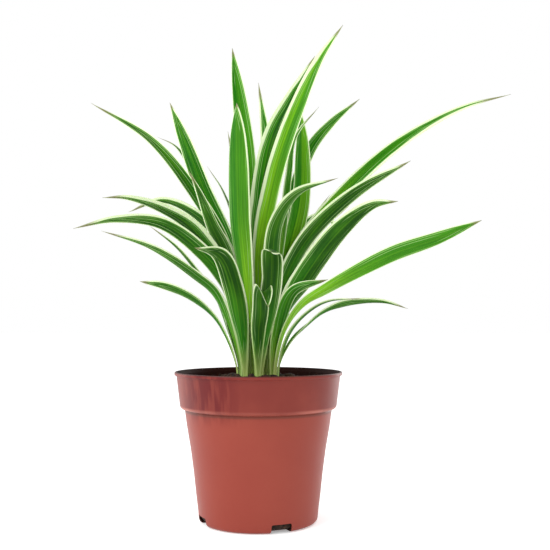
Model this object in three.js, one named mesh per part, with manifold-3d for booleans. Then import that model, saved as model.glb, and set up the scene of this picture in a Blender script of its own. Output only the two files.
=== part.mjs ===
// A variegated spider plant in its thin moulded nursery pot.
// Millimetres, +Z up, -Y is the front.
// The origin is the middle of the pot's foot, on the surface it stands on.
import * as THREE from "three";
import { mergeVertices } from "three/addons/utils/BufferGeometryUtils.js";
import Module from "manifold-3d";

// Driving dimensions of the pot
const POT_HEIGHT = 104;
const LIP_RADIUS = 59.3;
const COLLAR_TOP_RADIUS = 57.8;
const COLLAR_FOOT_RADIUS = 55.2;
const COLLAR_DEPTH = 26; // from the lip down to the groove under the collar
const BODY_TOP_RADIUS = 51.8;
const BODY = [[42.2, 8], [43.6, 19], [45.4, 35], [47.6, 51], [50.4, 67]]; // [radius, height] up its side
const FOOT_RADIUS = 41.4;
const FOOT_ROUND = 3.5;
const WALL = 1.2;
const SHOULDER_WALL = 1;
const LIP_HEIGHT = 2.2;
const LIP_ROUND = 0.6;
const POT_SIDES = 44;

// Driving dimensions of the four drain slots, cut through the corner of wall and floor
const SLOT_COUNT = 4;
const SLOT_WIDTH = 14.5;
const SLOT_HEIGHT = 6;
const SLOT_INNER_RADIUS = 32;
const SLOT_REACH = 20; // from there out past the wall
const SLOT_FIRST_ANGLE = -67; // degrees from +X: just right of the front
const SLOT_CORNER = 1.2;

// Driving dimensions of the soil
const SOIL_WALL_LEVEL = 95;
const SOIL_MIDDLE_LEVEL = 99;
const SOIL_RADIUS = 55.3; // at the wall, on top
const SOIL_RELIEF = 0.45;
const SOIL_RINGS = [0.85, 0.7, 0.55, 0.4, 0.2, 0]; // shares of that radius
const CLEARANCE = 0.3;

// Driving dimensions of the clump: the leaves stand in rings round five crowns
const ROOT_LEVEL = 94;
const NECK_LEVEL = 108;
const SPREAD_LEVEL = 132;
const SPREAD_BELOW = 12; // at least this far below the first point of the row
const NECK_SPREAD = 1.1;
const LEAF_SPREAD = 2.2;
const FIRST_RING = 1.3;
const RING_PITCH = 1.15;
const BASE_HALF_WIDTH = 1.6;
const TIP_HALF_WIDTH = 0.4;
const SWELL_BY = 0.45; // share of the length at which a blade has its full width, unless its row says
const SWELL_ROUND = 1.8;
const TAPER_FROM = 0.4; // share of the length from which it narrows to the tip
const TURN_FROM = 38; // distance up the blade from which it turns about its midrib
const TURN_BY = 80; // distance by which it has its mid length turn
const LOW_FOLD = [0.25, 0.5]; // [share of the length, slope of each half in radians]
const TIP_FOLD = 0.3; // that slope from the share below to the tip, where a row gives no other
const TIP_FOLD_FROM = 0.6;
const BLADE = 0.62; // thickness
const SEGMENT_LENGTH = 14;
const LEAST_SEGMENTS = 7;

// Driving dimensions of the rootstock and its roots
const ROOTSTOCK_TOP = 93.7;
const CROWN_RADIUS = 5.3; // holds the leaves of the inner rings
const INNER_RINGS = 2;
const STUB_RADIUS = 2; // holds one leaf of an outer ring
const HUB_RADIUS = 14.5;
const HUB_TOP = 89;
const HUB_FOOT = 74;
const HUB_OVERLAP = 2; // how far the crowns and stubs go down into the hub
const ROOT_RADIUS = 1.7;
const HUB_SIDES = 16;
const CROWN_SIDES = 10;
const STUB_SIDES = 7;
const ROOT_SIDES = 6;
const ROOT_STEPS = 6;
const LEVELLER = [80, 80, 10]; // the block that cuts every crown and stub off level

// Where each crown's axis meets the ground plane: [x, y]
const crowns = {
  left: [-7, -1.5],
  middle: [-0.5, -6.5],
  right: [6.5, -1],
  back_left: [-4, 6.5],
  back_right: [4.5, 7],
};

// One row for each leaf. ring and at (degrees) place its base round the crown, path is its midrib
// above the clump, and turn is how far the blade has turned about the midrib at mid length and at the tip.
// A higher taper keeps the blade wide for longer, a higher swell keeps its lower part narrow for longer,
// and fold is how steeply its halves slope near the tip.
const leaves = [
  { name: "left_high", crown: "left", ring: 3, at: 158, width: 11, turn: [45, 60], taper: 2.2,
    path: [[-24, 11, 189.5], [-51, 19, 238], [-82.5, 27, 276], [-129, 36, 306]] },
  { name: "left_upright", crown: "left", ring: 2, at: 105, width: 15, turn: [45, 40], taper: 4.5,
    path: [[-21, 22, 192], [-42, 34, 239], [-56, 44, 275], [-71, 54, 311]] },
  { name: "left_dark", crown: "left", ring: 2, at: -165, width: 13, turn: [-60, -60], taper: 2.6,
    path: [[-23, -7, 184], [-33.5, -9, 208], [-41, -12, 227.5], [-48.5, -14, 244.5]] },
  { name: "left_hidden", crown: "left", ring: 0, at: 110, width: 9, turn: [0, 0], taper: 2.6,
    path: [[-11, 9, 198], [-17, 12, 243], [-23, 14, 279]] },
  { name: "front_left_arch", crown: "left", ring: 6, at: -105, width: 15, turn: [-30, -30], taper: 2.8,
    path: [[-16, -36, 162], [-23, -62, 181], [-37, -92, 184]] },
  { name: "left_arch_upper", crown: "left", ring: 3, at: -150, width: 13, turn: [-45, -45], taper: 2.2,
    path: [[-24, -11, 171], [-45.5, -20, 204], [-67, -27, 217], [-88.5, -33, 223], [-104.5, -37, 222.5]] },
  { name: "left_arch_back", crown: "left", ring: 1, at: 170, width: 11, turn: [-65, -65], taper: 2.4,
    path: [[-23, 1, 190], [-47, 4, 217], [-71, 7, 227], [-95, 11, 219]] },
  { name: "left_arch_long", crown: "left", ring: 4, at: -135, width: 12, turn: [-45, -45], taper: 2.2,
    path: [[-22, -17, 165], [-42, -29, 190], [-65, -39, 205], [-93, -51, 206], [-118, -61, 199]] },
  { name: "left_arch_low", crown: "left", ring: 5, at: -141, width: 10, turn: [-20, -20], taper: 2.2,
    path: [[-30, -18, 158], [-43, -26, 170], [-70, -42, 188], [-101, -56, 198]] },
  { name: "left_edge_on", crown: "left", ring: 5, at: 165, width: 8, turn: [-40, -40], taper: 2.4,
    path: [[-32, 4, 158], [-42, 6, 171], [-60, 8, 193], [-80, 10, 209]] },
  { name: "left_lowest", crown: "left", ring: 6, at: -168, width: 10, turn: [-35, -75], taper: 4,
    swell: 0.7,
    path: [[-32.5, -8, 143], [-47.5, -12, 155.5], [-65, -15, 163.5], [-82, -17, 167]] },

  { name: "middle_front", crown: "middle", ring: 1, at: -135, width: 18, turn: [-10, -20], taper: 6,
    swell: 0.6,
    path: [[-8.8, -13, 161], [-13.8, -20, 208.5], [-14.6, -26, 257], [-14.5, -30, 289]] },
  { name: "middle_tall_back", crown: "middle", ring: 1, at: 100, width: 14.5, turn: [15, 15], taper: 3.2,
    path: [[-1, 3, 204], [5, 5, 256], [11, 8, 279], [22.5, 11, 302], [41.5, 18, 337]] },
  { name: "middle_tallest", crown: "middle", ring: 0, at: 80, width: 14, turn: [0, 0], taper: 3.4,
    path: [[2, -7, 193], [14, -8, 252], [30, -5, 297.5], [43.5, -2, 327.5], [61, 0, 354]] },
  { name: "front_right_arch", crown: "middle", ring: 1, at: -25, width: 14, turn: [35, 35], taper: 2.6,
    path: [[9, -12, 168], [13, -23, 206], [26, -36, 225], [53, -54, 233]] },
  { name: "front_fold_high", crown: "middle", ring: 4, at: -65, width: 16, turn: [0, 75], taper: 4.5,
    path: [[8.5, -29, 160.5], [9.5, -38, 177], [9.5, -52, 185.5], [9, -80, 182.5]] },
  { name: "front_fold_low", crown: "middle", ring: 6, at: -87, width: 15, turn: [0, 0], taper: 5,
    swell: 0.55, fold: 0.75,
    path: [[2, -34, 145], [2.3, -41, 154.5], [3.5, -50, 158.5], [5.5, -63, 156], [7.5, -78, 148]] },

  { name: "right_edge_on", crown: "right", ring: 0, at: 45, width: 9, turn: [0, 0], taper: 3,
    path: [[17.5, 5, 198], [22.5, 12, 246.5], [27, 17, 275], [44.5, 22, 299.5]] },
  { name: "right_long", crown: "right", ring: 3, at: 49, width: 13, turn: [-40, -40], taper: 1.8,
    path: [[22.5, 18.7, 181], [65, 31, 237], [108, 38, 276], [155.5, 42, 303.5], [194, 42, 314.5]] },
  { name: "right_arch_upper", crown: "right", ring: 1, at: -10, width: 13, turn: [60, 60], taper: 3.2,
    path: [[19, -4, 168.5], [36, -6, 199.5], [68, -10, 229.5], [107, -14, 252]] },
  { name: "right_dark", crown: "right", ring: 4, at: 23, width: 8, turn: [-50, -50], taper: 2.8,
    path: [[29.5, 5.2, 184], [46, 13, 207], [66, 17, 224]] },
  { name: "right_arch_lower", crown: "right", ring: 3, at: -22, width: 17.5, turn: [60, 60], taper: 2.8,
    path: [[22.5, -8.5, 152], [40, -15.5, 181.5], [59, -22.5, 204.5], [78, -29, 218.5], [95, -34, 220.5]] },
  { name: "right_low_long", crown: "right", ring: 6, at: -50, width: 12, turn: [50, 50], taper: 5,
    swell: 0.8,
    path: [[30, -27, 150.5], [46, -38, 161], [87, -52, 182.5], [116, -61, 192.5], [143, -68, 203.5]] },
  { name: "right_short", crown: "right", ring: 4, at: -54, width: 10, turn: [60, 60], taper: 2.8,
    path: [[24, -20, 160], [48, -26, 168]] },
  { name: "right_low_thin", crown: "right", ring: 6, at: -20, width: 8, turn: [10, 10], taper: 2.4,
    path: [[36, -13, 146], [49, -17, 153], [72, -22, 155]] },
  { name: "right_lowest", crown: "right", ring: 6, at: 20, width: 10, turn: [45, 45], taper: 2.6,
    swell: 0.65,
    path: [[35.5, 10, 136.5], [46.5, 12, 145], [62.5, 14, 151.5], [90.5, 16, 153.5], [109, 16, 148.5]] },

  { name: "back_far_left", crown: "back_left", ring: 3, at: 140, width: 10, turn: [10, 10], taper: 2.4,
    path: [[-24.5, 35, 204], [-50.5, 58, 252], [-68.5, 74, 280], [-85, 84, 290.5]] },
  { name: "back_narrow_left", crown: "back_left", ring: 2, at: 115, width: 9, turn: [-40, -40], taper: 2.4,
    path: [[-18, 35, 207], [-29, 54, 240], [-43, 72, 264]] },
  { name: "back_tallest", crown: "back_left", ring: 0, at: 95, width: 15, turn: [0, 0], taper: 4.5,
    path: [[-7, 25, 207.5], [-10, 31, 261], [-15, 37, 305], [-21.5, 43, 351]] },
  { name: "back_left", crown: "back_left", ring: 4, at: 110, width: 10, turn: [0, 0], taper: 2.8,
    path: [[-19, 46, 186], [-32, 64, 206], [-43, 84, 214], [-51, 106, 204]] },
  { name: "back_low", crown: "back_left", ring: 6, at: 95, width: 12, turn: [0, 0], taper: 2.8,
    path: [[-7, 50, 171], [-12, 90, 188], [-19, 135, 158]] },
  { name: "back_low_left", crown: "back_left", ring: 5, at: 125, width: 10, turn: [0, 0], taper: 2.8,
    path: [[-20, 38, 166], [-26, 64, 182], [-29, 92, 172]] },
  { name: "back_high_left", crown: "back_left", ring: 3, at: 80, width: 12, turn: [0, 0], taper: 3,
    path: [[-11, 46, 217], [-14, 70, 261], [-19, 96, 291]] },

  { name: "back_far_tip", crown: "back_right", ring: 0, at: 90, width: 11, turn: [0, 0], taper: 2.8,
    path: [[4, 18, 214], [5, 28, 268], [-1, 40, 323]] },
  { name: "back_broad", crown: "back_right", ring: 2, at: 50, width: 16, turn: [-65, -65], taper: 5,
    swell: 0.6,
    path: [[19, 20, 181], [30, 28, 227.5], [32, 36, 270], [31.5, 44, 303.5]] },
  { name: "back_far_right", crown: "back_right", ring: 3, at: 73, width: 12, turn: [-45, -45], taper: 3.6,
    path: [[17, 45, 202], [38, 62, 273.5], [56.5, 70, 298.5], [81, 80, 321]] },
  { name: "back_right_tip", crown: "back_right", ring: 4, at: 20, width: 10, turn: [15, 15], taper: 2.6,
    path: [[29, 24, 184], [42, 36, 219], [55, 46, 238]] },
  { name: "back_straight", crown: "back_right", ring: 5, at: 92, width: 13, turn: [0, 0], taper: 2.8,
    path: [[6, 58, 211], [6, 86, 238], [5, 124, 232]] },
  { name: "back_right", crown: "back_right", ring: 5, at: 55, width: 12, turn: [0, 0], taper: 2.8,
    path: [[24, 50, 196], [49, 80, 226], [68, 112, 212]] },
  { name: "back_low_right", crown: "back_right", ring: 6, at: 75, width: 11, turn: [0, 0], taper: 2.8,
    path: [[17, 48, 176], [34, 80, 200], [50, 112, 188]] },
  { name: "back_high_right", crown: "back_right", ring: 4, at: 97, width: 12, turn: [0, 0], taper: 3,
    path: [[4, 47, 217], [16, 71, 265], [22, 95, 283]] },
];

// The fleshy roots run from the hub out and down through the soil
const roots = [
  [[6, -4, 80], [16, -12, 68], [22, -18, 52], [20, -26, 34]],
  [[-6, -4, 80], [-15, -14, 70], [-24, -16, 56], [-30, -12, 40]],
  [[7, 3, 80], [20, 6, 70], [30, 6, 56], [32, 14, 38]],
  [[-7, 3, 80], [-18, 8, 68], [-22, 18, 52], [-18, 26, 32]],
  [[0, 7, 80], [4, 18, 68], [2, 28, 52], [10, 32, 36]],
  [[0, -6, 78], [-2, -12, 62], [4, -12, 44], [-2, -6, 24]],
];

const wasm = await Module();
wasm.setup();

const radians = THREE.MathUtils.degToRad;

// A closed three.js geometry as a solid that can be joined and cut
function solid(geometry) {
  const bare = geometry.clone();
  bare.deleteAttribute("normal");
  bare.deleteAttribute("uv");
  const merged = mergeVertices(bare, 1e-4);
  return new wasm.Manifold(
    new wasm.Mesh({
      numProp: 3,
      vertProperties: merged.getAttribute("position").array,
      triVerts: new Uint32Array(merged.index.array),
    }),
  );
}

// The geometry of a solid's largest body: loose scraps between two cuts are dropped
function largestBody(made) {
  const bodies = made.decompose();
  bodies.sort((a, b) => b.volume() - a.volume());
  const mesh = bodies[0].getMesh();
  const geometry = new THREE.BufferGeometry();
  geometry.setAttribute("position", new THREE.BufferAttribute(mesh.vertProperties, 3));
  geometry.setIndex(new THREE.BufferAttribute(mesh.triVerts, 1));
  geometry.computeVertexNormals();
  return geometry;
}

// A solid of revolution about Z from [radius, height] points that run up the outside
function turned(profile, sides) {
  const points = profile.map(([r, z]) => new THREE.Vector2(r, z));
  return new THREE.LatheGeometry(points, sides).rotateX(Math.PI / 2);
}

// The pot's side from the foot to the collar's top edge, moved in by an inset;
// lift raises the shoulder under the collar, so that the wall keeps its thickness there
function potSide(inset, lift) {
  const groove = POT_HEIGHT - COLLAR_DEPTH;
  return [
    ...BODY.map(([radius, height]) => [radius - inset, height]),
    [BODY_TOP_RADIUS - inset, groove - 1 + lift],
    [BODY_TOP_RADIUS - 0.1 - inset, groove + lift],
    [BODY_TOP_RADIUS + 1.4 - inset, groove + 0.6 + lift],
    [COLLAR_FOOT_RADIUS - 0.9 - inset, groove + 2 + lift],
    [COLLAR_FOOT_RADIUS - inset, groove + 4.2 + lift],
    [COLLAR_TOP_RADIUS - inset, POT_HEIGHT - 3],
  ];
}

function potGeometry() {
  const foot = [];
  for (const angle of [-90, -60, -30, 0]) {
    const a = radians(angle);
    foot.push([
      FOOT_RADIUS - FOOT_ROUND + FOOT_ROUND * Math.cos(a),
      FOOT_ROUND + FOOT_ROUND * Math.sin(a),
    ]);
  }
  const lip = [
    [LIP_RADIUS - 0.2, POT_HEIGHT - LIP_HEIGHT],
    [LIP_RADIUS, POT_HEIGHT - LIP_ROUND],
    [LIP_RADIUS - LIP_ROUND, POT_HEIGHT],
    [LIP_RADIUS - 1.9, POT_HEIGHT - 0.1],
    [COLLAR_TOP_RADIUS - WALL + 0.2, POT_HEIGHT - 2.4],
  ];
  const inside = potSide(WALL, SHOULDER_WALL).reverse();
  const floor = [
    [FOOT_RADIUS - WALL, FOOT_ROUND + 0.6],
    [FOOT_RADIUS - FOOT_ROUND, WALL],
    [0, WALL],
  ];
  const shell = turned([[0, 0], ...foot, ...potSide(0, 0), ...lip, ...inside, ...floor], POT_SIDES);
  let made = solid(shell);
  for (let i = 0; i < SLOT_COUNT; i++) {
    made = made.subtract(drainSlot(SLOT_FIRST_ANGLE + (360 / SLOT_COUNT) * i));
  }
  return largestBody(made);
}

// The block that cuts one drain slot: its section stands across the wall and runs outwards
function drainSlot(angle) {
  const half = SLOT_WIDTH / 2;
  const section = new THREE.Shape();
  section.moveTo(-half, -1);
  section.lineTo(half, -1);
  section.lineTo(half, SLOT_HEIGHT - SLOT_CORNER);
  section.lineTo(half - SLOT_CORNER, SLOT_HEIGHT);
  section.lineTo(SLOT_CORNER - half, SLOT_HEIGHT);
  section.lineTo(-half, SLOT_HEIGHT - SLOT_CORNER);
  section.closePath();
  const block = new THREE.ExtrudeGeometry(section, { depth: SLOT_REACH, bevelEnabled: false });
  const frame = new THREE.Matrix4().makeBasis(
    new THREE.Vector3(0, 1, 0),
    new THREE.Vector3(0, 0, 1),
    new THREE.Vector3(1, 0, 0),
  );
  block.applyMatrix4(frame);
  block.translate(SLOT_INNER_RADIUS, 0, 0);
  block.rotateZ(radians(angle));
  return solid(block);
}

// The midrib of a leaf: up through its ring of the crown, then along the row's own path
function midrib(leaf) {
  const [x, y] = crowns[leaf.crown];
  const radius = FIRST_RING + RING_PITCH * leaf.ring;
  const angle = radians(leaf.at);
  const out = (factor, z) =>
    new THREE.Vector3(
      x + radius * factor * Math.cos(angle),
      y + radius * factor * Math.sin(angle),
      z,
    );
  const clump = [
    out(1, ROOT_LEVEL),
    out(NECK_SPREAD, NECK_LEVEL),
    out(LEAF_SPREAD, Math.min(SPREAD_LEVEL, leaf.path[0][2] - SPREAD_BELOW)),
  ];
  const free = leaf.path.map((p) => new THREE.Vector3(...p));
  return new THREE.CatmullRomCurve3([...clump, ...free], false, "centripetal");
}

// Half the blade's width at t, from 0 at the base to 1 at the tip
function halfWidth(leaf, t) {
  const swell = Math.sin((Math.PI / 2) * Math.min(1, t / (leaf.swell ?? SWELL_BY))) ** SWELL_ROUND;
  const full = THREE.MathUtils.lerp(BASE_HALF_WIDTH, leaf.width / 2, swell);
  const towardsTip = Math.max(0, (t - TAPER_FROM) / (1 - TAPER_FROM));
  return Math.max(TIP_HALF_WIDTH, full * (1 - towardsTip ** leaf.taper));
}

// The value at s of the straight-line graph through [s, value] points
function graph(points, s) {
  const next = points.findIndex(([at]) => at >= s);
  if (next <= 0) return next < 0 ? points.at(-1)[1] : points[0][1];
  const [s0, v0] = points[next - 1];
  const [s1, v1] = points[next];
  return v0 + ((v1 - v0) * (s - s0)) / (s1 - s0);
}

// One leaf: a thin channelled blade with a ridge along its midrib and a blunt tip
function leafGeometry(leaf) {
  const curve = midrib(leaf);
  const length = curve.getLength();
  const count = Math.max(LEAST_SEGMENTS, Math.round(length / SEGMENT_LENGTH));
  const ringRadius = FIRST_RING + RING_PITCH * leaf.ring;
  const baseFold = BASE_HALF_WIDTH / ringRadius / 2; // the base hugs its ring
  const folds = [[0, baseFold], LOW_FOLD, [TIP_FOLD_FROM, leaf.fold ?? TIP_FOLD]];
  const turns = [[0, 0], [TURN_FROM, 0], [TURN_BY, leaf.turn[0]], [length, leaf.turn[1]]];
  const angle = radians(leaf.at);
  const across = new THREE.Vector3(-Math.sin(angle), Math.cos(angle), 0);
  let before = curve.getTangentAt(0);
  const positions = [];
  for (let i = 0; i <= count; i++) {
    const t = i / count;
    const along = curve.getTangentAt(t);
    across.applyQuaternion(new THREE.Quaternion().setFromUnitVectors(before, along));
    before = along;
    const turn = radians(graph(turns, t * length));
    const side = across.clone().applyAxisAngle(along, -turn);
    const back = new THREE.Vector3().crossVectors(side, along);
    const fold = graph(folds, t);
    const half = halfWidth(leaf, t);
    const rise = BLADE / 2 / Math.cos(fold);
    const centre = curve.getPointAt(t);
    for (const face of [1, -1]) {
      for (const edge of [-1, 0, 1]) {
        const p = centre.clone();
        p.addScaledVector(side, edge * half * Math.cos(fold));
        p.addScaledVector(back, -Math.abs(edge) * half * Math.sin(fold) + face * rise);
        if (i === 0) p.z = ROOT_LEVEL; // the foot is cut level
        positions.push(p.x, p.y, p.z);
      }
    }
  }
  return blade(positions, count);
}

// Skins the six points of each section: 0 to 2 on the back face and 3 to 5 on the inner face
function blade(positions, count) {
  const triangles = [];
  const strip = (a, b, flip) => {
    for (let i = 0; i < count; i++) {
      const [a0, b0, a1, b1] = [a, b, a + 6, b + 6].map((k) => k + 6 * i);
      if (flip) triangles.push(a0, a1, b1, a0, b1, b0);
      else triangles.push(a0, b1, a1, a0, b0, b1);
    }
  };
  strip(0, 1, false);
  strip(1, 2, false);
  strip(3, 4, true);
  strip(4, 5, true);
  strip(2, 5, false);
  strip(0, 3, true);
  const end = 6 * count;
  triangles.push(0, 3, 4, 0, 4, 1, 1, 4, 5, 1, 5, 2);
  triangles.push(end, end + 4, end + 3, end, end + 1, end + 4);
  triangles.push(end + 1, end + 5, end + 4, end + 1, end + 2, end + 5);
  const geometry = new THREE.BufferGeometry();
  geometry.setAttribute("position", new THREE.Float32BufferAttribute(positions, 3));
  geometry.setIndex(triangles);
  geometry.computeVertexNormals();
  return geometry;
}

// A short round post in line with the foot of a leaf
function stub(leaf, radius, foot, top) {
  const [root, neck] = midrib(leaf).points;
  const axis = neck.clone().sub(root);
  const at = (z) => root.clone().addScaledVector(axis, (z - root.z) / axis.z);
  const low = at(foot);
  const high = at(top);
  const post = new THREE.CylinderGeometry(radius, radius, low.distanceTo(high), STUB_SIDES);
  const upright = new THREE.Vector3(0, 1, 0);
  post.applyQuaternion(
    new THREE.Quaternion().setFromUnitVectors(upright, axis.clone().normalize()),
  );
  const middle = low.add(high).multiplyScalar(0.5);
  post.translate(middle.x, middle.y, middle.z);
  return solid(post);
}

// A fleshy root: a round tube along its route, longer by the clearance where it hollows the soil
function rootTube(route, clearance) {
  const points = route.map((p) => new THREE.Vector3(...p));
  const last = points.at(-1);
  const onwards = last.clone().sub(points.at(-2)).normalize();
  last.addScaledVector(onwards, clearance);
  const section = new THREE.Shape();
  const radius = ROOT_RADIUS + clearance;
  for (let i = 0; i < ROOT_SIDES; i++) {
    const a = radians((360 / ROOT_SIDES) * i);
    const point = [radius * Math.cos(a), radius * Math.sin(a)];
    if (i) section.lineTo(...point);
    else section.moveTo(...point);
  }
  section.closePath();
  const path = new THREE.CatmullRomCurve3(points);
  const settings = { steps: ROOT_STEPS, extrudePath: path, bevelEnabled: false };
  return solid(new THREE.ExtrudeGeometry(section, settings));
}

// The rootstock: a hub, a crown for each shoot, a stub under each outer leaf, and the roots.
// It is grown by a clearance and made taller where it is used to hollow the soil.
function rootstock(clearance, top) {
  const hub = [
    [0, HUB_FOOT - clearance],
    [4 + clearance, HUB_FOOT - clearance],
    [HUB_RADIUS - 2 + clearance, HUB_TOP - 7],
    [HUB_RADIUS + clearance, HUB_TOP - 2],
    [HUB_RADIUS - 1 + clearance, HUB_TOP + clearance],
    [0, HUB_TOP + clearance],
  ];
  let made = solid(turned(hub, HUB_SIDES));
  const foot = HUB_TOP - HUB_OVERLAP;
  for (const [x, y] of Object.values(crowns)) {
    const radius = CROWN_RADIUS + clearance;
    const post = turned([[0, foot], [radius, foot], [radius, top], [0, top]], CROWN_SIDES);
    post.translate(x, y, 0);
    made = made.add(solid(post));
  }
  for (const leaf of leaves.filter((row) => row.ring > INNER_RINGS)) {
    made = made.add(stub(leaf, STUB_RADIUS + clearance, foot - clearance, top + 1));
  }
  for (const route of roots) {
    made = made.add(rootTube(route, clearance));
  }
  const above = new THREE.BoxGeometry(...LEVELLER).translate(0, 0, top + LEVELLER[2] / 2);
  return made.subtract(solid(above));
}

// The soil's height above the foot: mounded towards the crowns and uneven all over
function soilLevel(x, y) {
  const share = Math.min(1, Math.hypot(x, y) / SOIL_RADIUS);
  const mound = THREE.MathUtils.lerp(SOIL_MIDDLE_LEVEL, SOIL_WALL_LEVEL, share ** 1.5);
  const uneven = Math.sin(x * 0.31 + y * 0.17) + Math.sin(x * 0.13 - y * 0.36 + 1.3);
  return mound + SOIL_RELIEF * uneven * (1 - share ** 4);
}

function soilGeometry() {
  const side = potSide(WALL + CLEARANCE, SHOULDER_WALL + CLEARANCE).slice(0, -1);
  const bottom = WALL + CLEARANCE;
  const profile = [
    [0, bottom],
    [FOOT_RADIUS - FOOT_ROUND - 1, bottom],
    [FOOT_RADIUS - WALL - 0.9, FOOT_ROUND + 1],
    ...side,
    [SOIL_RADIUS, SOIL_WALL_LEVEL],
  ];
  for (const share of SOIL_RINGS) {
    profile.push([SOIL_RADIUS * share, SOIL_WALL_LEVEL]);
  }
  const geometry = turned(profile, POT_SIDES);
  const position = geometry.getAttribute("position");
  for (let i = 0; i < position.count; i++) {
    if (position.getZ(i) < SOIL_WALL_LEVEL - 0.01) continue;
    position.setZ(i, soilLevel(position.getX(i), position.getY(i)));
  }
  const hollow = rootstock(CLEARANCE + 0.2, SOIL_MIDDLE_LEVEL + 3);
  return largestBody(solid(geometry).subtract(hollow));
}

const finishes = {
  pot: { color: 0x9a4a3e, roughness: 0.42, metalness: 0 },
  soil: { color: 0x2c1c14, roughness: 0.95, metalness: 0 },
  crown: { color: 0xd8d3a6, roughness: 0.6, metalness: 0 },
  leaf: { color: 0x3f8f2a, roughness: 0.45, metalness: 0 },
};

const plant = new THREE.Group();

function place(name, geometry, finish, group) {
  const mesh = new THREE.Mesh(geometry, new THREE.MeshStandardMaterial(finishes[finish]));
  mesh.name = name;
  group.add(mesh);
}

place("pot", potGeometry(), "pot", plant);
place("soil", soilGeometry(), "soil", plant);
place("rootstock", largestBody(rootstock(0, ROOTSTOCK_TOP)), "crown", plant);
for (const crown of Object.keys(crowns)) {
  const shoot = new THREE.Group();
  plant.add(shoot);
  for (const leaf of leaves.filter((row) => row.crown === crown)) {
    place("leaf_" + leaf.name, leafGeometry(leaf), "leaf", shoot);
  }
}

export default plant;
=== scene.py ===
"""A variegated spider plant growing in its nursery pot, finished and lit as in the photograph.

Metres, +Z up, -Y is the front, and the origin is the middle of the pot's foot.
"""

import math
import random

import bmesh
import bpy
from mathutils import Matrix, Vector, noise


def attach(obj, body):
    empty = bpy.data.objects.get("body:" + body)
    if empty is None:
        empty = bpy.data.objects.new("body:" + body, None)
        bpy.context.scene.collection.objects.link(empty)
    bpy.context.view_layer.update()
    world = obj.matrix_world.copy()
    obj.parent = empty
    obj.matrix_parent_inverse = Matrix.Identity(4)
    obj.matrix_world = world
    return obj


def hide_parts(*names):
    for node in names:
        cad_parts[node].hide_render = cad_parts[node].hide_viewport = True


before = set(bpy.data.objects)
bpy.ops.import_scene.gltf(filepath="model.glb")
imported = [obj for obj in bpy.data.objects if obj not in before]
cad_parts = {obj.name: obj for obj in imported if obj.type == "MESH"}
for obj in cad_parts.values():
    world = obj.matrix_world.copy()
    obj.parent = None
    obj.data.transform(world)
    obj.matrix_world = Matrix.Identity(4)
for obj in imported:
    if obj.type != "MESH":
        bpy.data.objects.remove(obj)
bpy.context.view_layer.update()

# The photographer's camera stands 600 mm in front of the pot's axis, a little above the lip and a
# little to the right, and looks slightly upwards.
CAMERA_PLACE = (0.0117, -0.600, 0.140)
CAMERA_TILT = 3.09  # degrees above level
LENS = 55.1  # millimetres, as the width of the sensor is
SENSOR_WIDTH = 36.0
camera_data = bpy.data.cameras.new("photo_camera")
camera_data.sensor_width = SENSOR_WIDTH
camera_data.lens = LENS
camera = bpy.data.objects.new("photo_camera", camera_data)
camera.location = CAMERA_PLACE
camera.rotation_euler = (math.radians(90 + CAMERA_TILT), 0, 0)
bpy.context.collection.objects.link(camera)
bpy.context.scene.camera = camera
bpy.context.scene.view_settings.view_transform = "Standard"


# The plant stands on wide white board in a bright room. One large soft lamp hangs in front to the
# upper left, and two tall ones behind draw the pale upright lines on the sides of the pot.
class Wire:
    """An output of a node. Arithmetic on wires adds Math nodes to their tree."""

    def __init__(self, tree, output=None):
        self.tree = tree
        self.output = output

    def node(self, kind, settings, inputs, output=0):
        """Adds a node, makes its settings, sets or links its sockets and gives one of its outputs."""
        made = self.tree.nodes.new(kind)
        for name, value in settings.items():
            setattr(made, name, value)
        for key, value in inputs.items():
            for one in value if isinstance(value, list) else [value]:
                if isinstance(one, Wire):
                    self.tree.links.new(one.output, made.inputs[key])
                else:
                    made.inputs[key].default_value = one
        return Wire(self.tree, made.outputs[output] if made.outputs else None)

    def beside(self, output):
        """Another output of the same node."""
        return Wire(self.tree, self.output.node.outputs[output])

    def maths(self, operation, *values):
        return self.node("ShaderNodeMath", {"operation": operation}, dict(enumerate(values)))

    def vectors(self, operation, *values):
        return self.node("ShaderNodeVectorMath", {"operation": operation}, dict(enumerate(values)))

    def __add__(self, other):
        return self.maths("ADD", self, other)

    def __sub__(self, other):
        return self.maths("SUBTRACT", self, other)

    def __rsub__(self, other):
        return self.maths("SUBTRACT", other, self)

    def __mul__(self, other):
        return self.maths("MULTIPLY", self, other)

    def __truediv__(self, other):
        return self.maths("DIVIDE", self, other)

    def __pow__(self, other):
        return self.maths("POWER", self, other)

    def __abs__(self):
        return self.maths("ABSOLUTE", self)

    __radd__ = __add__
    __rmul__ = __mul__


def new_material(name):
    """An empty material, and a wire to start its nodes from."""
    material = bpy.data.materials.new(name)
    material.use_nodes = True
    material.node_tree.nodes.clear()
    return material, Wire(material.node_tree)


def finish_material(start, inputs):
    """Ends a material in a Principled shader with these inputs."""
    shader = start.node("ShaderNodeBsdfPrincipled", {}, inputs)
    start.node("ShaderNodeOutputMaterial", {}, {"Surface": shader})


def grain(vector, scale, detail=3.0):
    """Cloudy noise from 0 to 1 with so many clouds to the metre."""
    return vector.node("ShaderNodeTexNoise", {}, {"Vector": vector, "Scale": scale, "Detail": detail})


def rise(value, low, high):
    """0 below low, 1 above high and smooth between them."""
    settings = {"interpolation_type": "SMOOTHSTEP"}
    inputs = {"Value": value, "From Min": low, "From Max": high}
    return value.node("ShaderNodeMapRange", settings, inputs)


def blended(share, first, second):
    """The first colour where the share is 0 and the second where it is 1."""
    return share.node("ShaderNodeMix", {"data_type": "RGBA"}, {0: share, 6: first, 7: second}, 2)


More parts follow.
